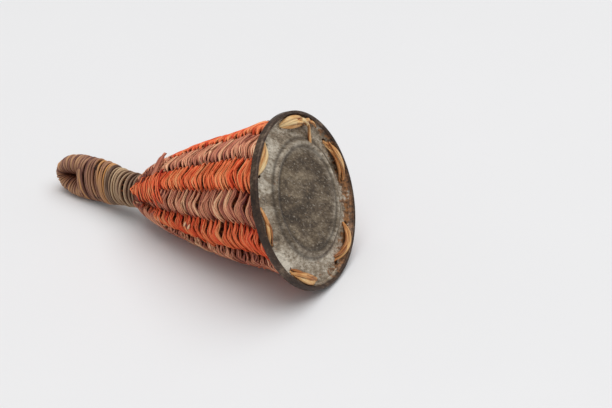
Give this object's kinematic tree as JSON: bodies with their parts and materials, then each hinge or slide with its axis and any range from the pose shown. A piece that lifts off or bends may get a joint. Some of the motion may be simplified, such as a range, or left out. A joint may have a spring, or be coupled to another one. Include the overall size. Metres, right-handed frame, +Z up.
{
  "type": "basket rattle",
  "caption": "Caxixi, a straw basket rattle: twined bell on straw stakes, tin can end stitched on as its lid, bound hanging loop at the neck, loose seeds inside, lying on its side.",
  "frame": {"origin": "centre of the bounding box on the table, under the rattle as it lies", "axes": "+Z up from the table, +X along the rattle as it lies, from its hanging loop towards its lid"},
  "size_m": [0.153, 0.0756, 0.0711],
  "materials": {
    "tin": "aged tinplate with rust specks",
    "seam": "dark aged tinplate",
    "stake_straw": "natural straw, satin",
    "orange_straw": "dyed straw, matt",
    "brown_straw": "dyed straw, matt",
    "core_straw": "natural straw, matt",
    "olive_straw": "weathered straw, matt",
    "bound_straw": "dyed straw, matt",
    "seed": "dry hard seed, satin"
  },
  "bodies": {
    "basket": {"tin_lid": "tin", "seam_hoop": "seam", "stake_1": "stake_straw", "stake_2": "stake_straw", "stake_3": "stake_straw", "stake_4": "stake_straw", "stake_5": "stake_straw", "stake_6": "stake_straw", "orange_weaver_1": "orange_straw", "orange_weaver_2": "orange_straw", "orange_weaver_3": "orange_straw", "orange_weaver_4": "orange_straw", "brown_weaver_1": "brown_straw", "brown_weaver_2": "brown_straw", "brown_weaver_3": "brown_straw", "brown_weaver_4": "brown_straw", "handle_core": "core_straw", "neck_binding": "olive_straw", "loop_binding": "bound_straw", "loop_whipping": "bound_straw"},
    "lid_seeds": {"seed_1_1": "seed", "seed_1_2": "seed", "seed_1_3": "seed", "seed_1_4": "seed", "seed_1_5": "seed"},
    "wall_seeds": {"seed_2_1": "seed", "seed_2_2": "seed", "seed_2_3": "seed", "seed_2_4": "seed", "seed_2_5": "seed", "seed_3_1": "seed", "seed_3_2": "seed", "seed_3_3": "seed", "seed_3_4": "seed", "seed_3_5": "seed"},
    "shoulder_seeds": {"seed_4_1": "seed", "seed_4_2": "seed", "seed_4_3": "seed", "seed_4_4": "seed", "seed_4_5": "seed"}
  },
  "joints": [
    {"name": "lid_strike", "type": "slide", "parent": "basket", "child": "lid_seeds", "axis": [0.9275, 0.1295, 0.3506], "range_m": [0, 0.006]},
    {"name": "wall_strike", "type": "slide", "parent": "basket", "child": "wall_seeds", "axis": [-0.2803, -0.0509, 0.9586], "range_m": [0, 0.02]},
    {"name": "shoulder_strike", "type": "slide", "parent": "basket", "child": "shoulder_seeds", "axis": [-0.2544, -0.0489, 0.9659], "range_m": [0, 0.015]}
  ]
}
